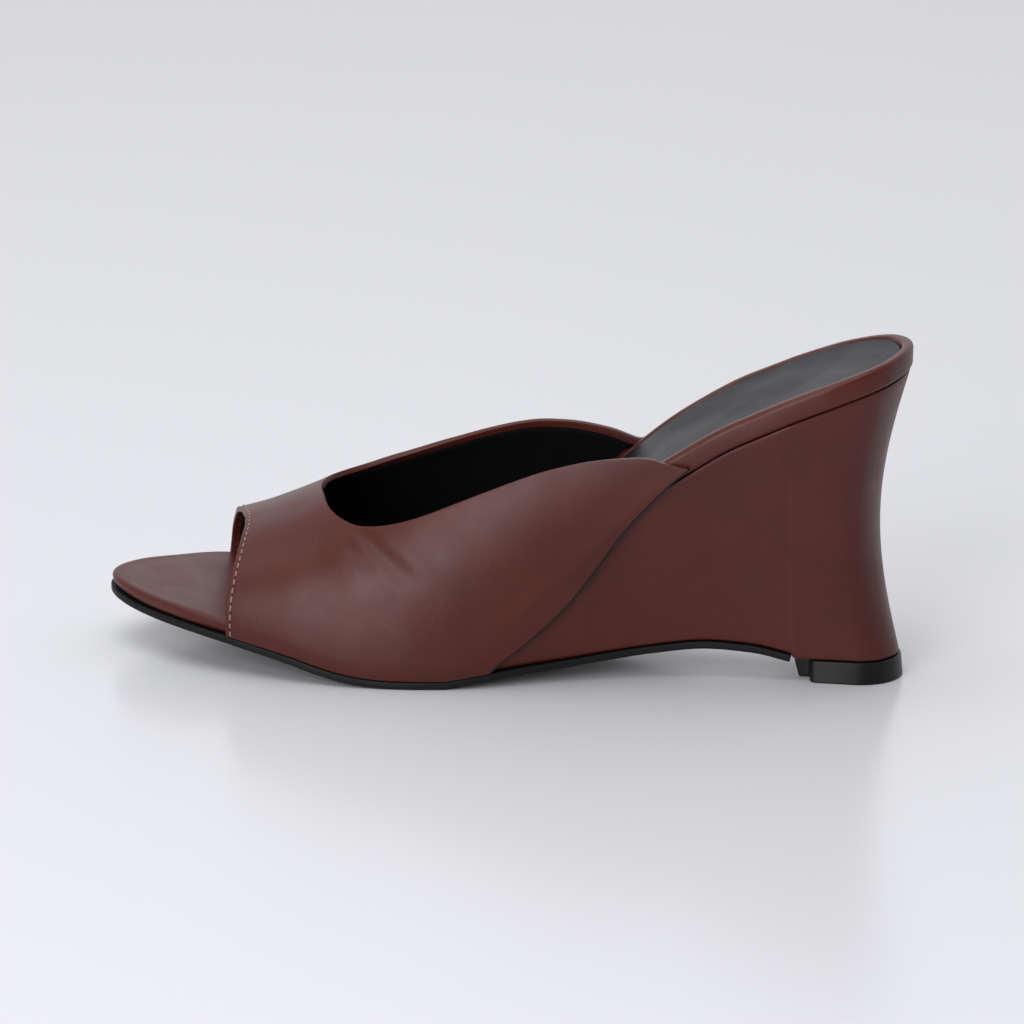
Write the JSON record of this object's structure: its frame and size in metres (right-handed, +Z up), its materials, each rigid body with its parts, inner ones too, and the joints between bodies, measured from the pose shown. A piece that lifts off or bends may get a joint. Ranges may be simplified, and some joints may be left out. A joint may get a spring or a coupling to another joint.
{
  "type": "wedge mule",
  "caption": "Left women's wedge mule: a peep-toe leather vamp on a wrapped footbed and a high leather-covered wedge, open at the heel, with a black sheet sole and a moulded heel tip.",
  "frame": {"origin": "on the ground, under the middle of the shoe's bounding box", "axes": "+X from toe to heel, +Y to the medial side, +Z up from the ground the shoe stands on"},
  "size_m": [0.226, 0.0748, 0.0945],
  "materials": {
    "brown_leather": "smooth reddish-brown dyed calf, soft gloss",
    "black_sock": "smooth black lining leather, satin",
    "sole_rubber": "black sheet rubber, cut edge, matte",
    "tip_plastic": "black moulded polyurethane, satin"
  },
  "bodies": {
    "root": {"outsole": "sole_rubber", "heel_tip": "tip_plastic", "wedge": "brown_leather", "footbed": "brown_leather", "sock": "black_sock", "upper": "brown_leather"}
  },
  "joints": []
}
